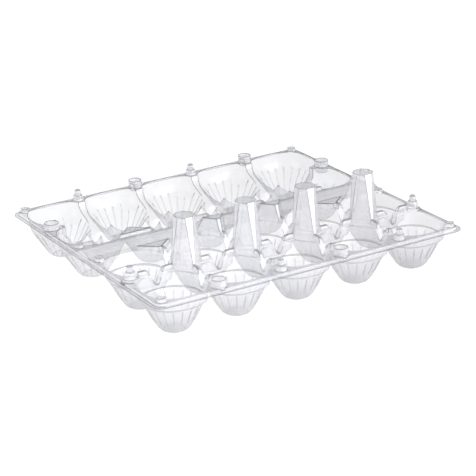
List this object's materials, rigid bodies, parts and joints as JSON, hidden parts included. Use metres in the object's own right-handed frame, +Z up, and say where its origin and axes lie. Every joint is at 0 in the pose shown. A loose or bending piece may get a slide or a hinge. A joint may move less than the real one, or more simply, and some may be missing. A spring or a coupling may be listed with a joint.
{
  "type": "egg carton",
  "caption": "Clear thermoformed egg carton lying open: a tray of round cups with centre posts, joined along a crease to a lid of matching domes with pegs and sockets.",
  "frame": {"origin": "centre of the open carton's footprint, on the surface it rests on, under the crease", "axes": "+X along the crease, +Y from the tray towards the lid, +Z up"},
  "size_m": [0.2408, 0.218, 0.0673],
  "materials": {
    "clear_plastic": "gloss"
  },
  "bodies": {
    "base": {"base_tray": "clear_plastic"},
    "lid": {"lid": "clear_plastic"}
  },
  "joints": [
    {"name": "lid_hinge", "type": "hinge", "parent": "base", "child": "lid", "pos_m": [0, 0, 0.0343], "axis": [1, 0, 0], "range_deg": [0, 180]}
  ]
}
